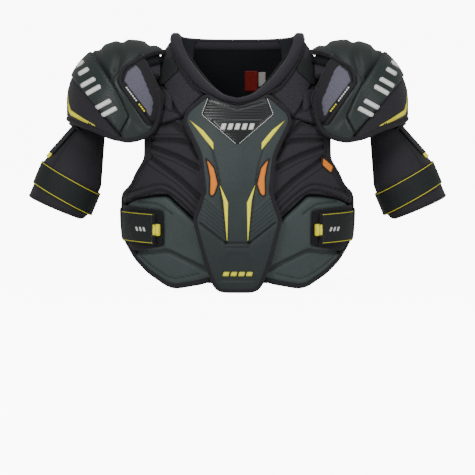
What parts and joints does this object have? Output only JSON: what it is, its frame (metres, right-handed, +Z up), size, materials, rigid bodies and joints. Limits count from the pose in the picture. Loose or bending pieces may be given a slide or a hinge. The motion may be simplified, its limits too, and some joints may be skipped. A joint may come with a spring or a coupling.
{
  "type": "ice hockey shoulder pads",
  "caption": "Padded ice hockey shoulder pads: torso vest with sternum and spine shields, hinged shoulder caps, upper-arm guards on hanger straps and strap closures.",
  "frame": {"origin": "on the surface the pads stand on, under the middle of their bounding box", "axes": "+Z up towards the collar, -Y out of the chest, +X towards the wearer's left"},
  "size_m": [0.6782, 0.2945, 0.41],
  "materials": {
    "liner": "soft knitted lining",
    "collar_fabric": "brushed padded roll",
    "mesh_fabric": "ribbed mesh over foam",
    "panel_fabric": "embossed fabric over foam",
    "strap_webbing": "woven elastic webbing",
    "yellow_trim": "matte moulded tab",
    "loop_fabric": "brushed loop fabric",
    "orange_mesh": "open mesh",
    "moulded_panel": "fine grained moulded foam",
    "binding": "woven binding tape",
    "hard_plastic": "plain",
    "gloss_badge": "glossy ribbed",
    "label_red": "woven satin",
    "cap_moulding": "embossed moulded cover",
    "dark_fabric": "plain weave",
    "grey_fabric": "plain weave",
    "guard_fabric": "embossed fabric over foam",
    "hanger_webbing": "woven webbing",
    "ring_plastic": "plain"
  },
  "bodies": {
    "vest": {"liner_front": "liner", "liner_back": "liner", "collar": "collar_fabric", "chest_pad_left": "mesh_fabric", "chest_pad_right": "mesh_fabric", "yoke_pad_left": "mesh_fabric", "yoke_pad_right": "mesh_fabric", "shoulder_tip_pad_left": "mesh_fabric", "shoulder_tip_pad_right": "mesh_fabric", "upper_back_pad_left": "mesh_fabric", "upper_back_pad_right": "mesh_fabric", "side_panel_left": "panel_fabric", "side_panel_right": "panel_fabric", "lower_back_pad": "panel_fabric", "yoke_strap_left": "strap_webbing", "yoke_strap_right": "strap_webbing", "side_strap_elastic_left": "strap_webbing", "side_strap_elastic_right": "strap_webbing", "strap_landing_left": "loop_fabric", "strap_landing_right": "loop_fabric", "sternum_vent_left": "orange_mesh", "sternum_vent_right": "orange_mesh", "side_vent_left": "orange_mesh", "sternum_shield": "moulded_panel", "spine_shield": "moulded_panel", "sternum_binding": "binding", "sternum_insert": "hard_plastic", "spine_insert": "hard_plastic", "sternum_badge": "gloss_badge", "neck_label": "label_red"},
    "side_strap_left": {"side_strap_flap_left": "strap_webbing", "side_strap_tab_left": "yellow_trim"},
    "side_strap_right": {"side_strap_flap_right": "strap_webbing", "side_strap_tab_right": "yellow_trim"},
    "guard_left": {"arm_strap_band_left": "strap_webbing", "guard_hanger_tab_left": "yellow_trim", "guard_plate_left": "hard_plastic", "guard_lining_left": "dark_fabric", "guard_pad_left": "guard_fabric", "guard_hanger_left": "hanger_webbing"},
    "guard_right": {"arm_strap_band_right": "strap_webbing", "guard_hanger_tab_right": "yellow_trim", "guard_plate_right": "hard_plastic", "guard_lining_right": "dark_fabric", "guard_pad_right": "guard_fabric", "guard_hanger_right": "hanger_webbing"},
    "arm_strap_left": {"arm_strap_flap_left": "strap_webbing"},
    "arm_strap_right": {"arm_strap_flap_right": "strap_webbing"},
    "cap_left": {"cap_shell_left": "hard_plastic", "cap_cover_left": "cap_moulding", "cap_skirt_left": "dark_fabric", "cap_lining_left": "dark_fabric", "cap_front_flap_left": "grey_fabric"},
    "cap_right": {"cap_shell_right": "hard_plastic", "cap_cover_right": "cap_moulding", "cap_skirt_right": "dark_fabric", "cap_lining_right": "dark_fabric", "cap_front_flap_right": "grey_fabric"},
    "ring_left": {"hanger_ring_left": "ring_plastic"},
    "ring_right": {"hanger_ring_right": "ring_plastic"}
  },
  "joints": [
    {"name": "cap_lift_left", "type": "hinge", "parent": "vest", "child": "cap_left", "pos_m": [0.106, 0.008, 0.404], "axis": [0, -1, 0], "range_deg": [0, 50], "stiffness_Nm_per_rad": 1},
    {"name": "arm_raise_left", "type": "hinge", "parent": "cap_left", "child": "ring_left", "pos_m": [0.26482, -0.00084, 0.26042], "axis": [-0.2845, -0.9511, -0.1207], "range_deg": [0, 40], "stiffness_Nm_per_rad": 0.3},
    {"name": "arm_swing_left", "type": "hinge", "parent": "ring_left", "child": "guard_left", "pos_m": [0.26482, -0.00084, 0.26042], "axis": [-0.6955, 0.2914, -0.6568], "range_deg": [-10, 10], "stiffness_Nm_per_rad": 0.3},
    {"name": "arm_strap_open_left", "type": "hinge", "parent": "guard_left", "child": "arm_strap_left", "pos_m": [0.22012, 0.00229, 0.15716], "axis": [0.3907, 0, -0.9205], "range_deg": [0, 75]},
    {"name": "side_strap_open_left", "type": "hinge", "parent": "vest", "child": "side_strap_left", "pos_m": [0.1863, -0.025, 0.129], "axis": [0, 0, 1], "range_deg": [0, 60]},
    {"name": "cap_lift_right", "type": "hinge", "parent": "vest", "child": "cap_right", "pos_m": [-0.106, 0.008, 0.404], "axis": [0, 1, 0], "range_deg": [0, 50], "stiffness_Nm_per_rad": 1},
    {"name": "arm_raise_right", "type": "hinge", "parent": "cap_right", "child": "ring_right", "pos_m": [-0.26482, -0.00084, 0.26042], "axis": [-0.2845, 0.9511, 0.1207], "range_deg": [0, 40], "stiffness_Nm_per_rad": 0.3},
    {"name": "arm_swing_right", "type": "hinge", "parent": "ring_right", "child": "guard_right", "pos_m": [-0.26482, -0.00084, 0.26042], "axis": [-0.6955, -0.2914, 0.6568], "range_deg": [-10, 10], "stiffness_Nm_per_rad": 0.3},
    {"name": "arm_strap_open_right", "type": "hinge", "parent": "guard_right", "child": "arm_strap_right", "pos_m": [-0.22012, 0.00229, 0.15716], "axis": [0.3907, 0, 0.9205], "range_deg": [0, 75]},
    {"name": "side_strap_open_right", "type": "hinge", "parent": "vest", "child": "side_strap_right", "pos_m": [-0.1863, -0.025, 0.129], "axis": [0, 0, -1], "range_deg": [0, 60]}
  ]
}
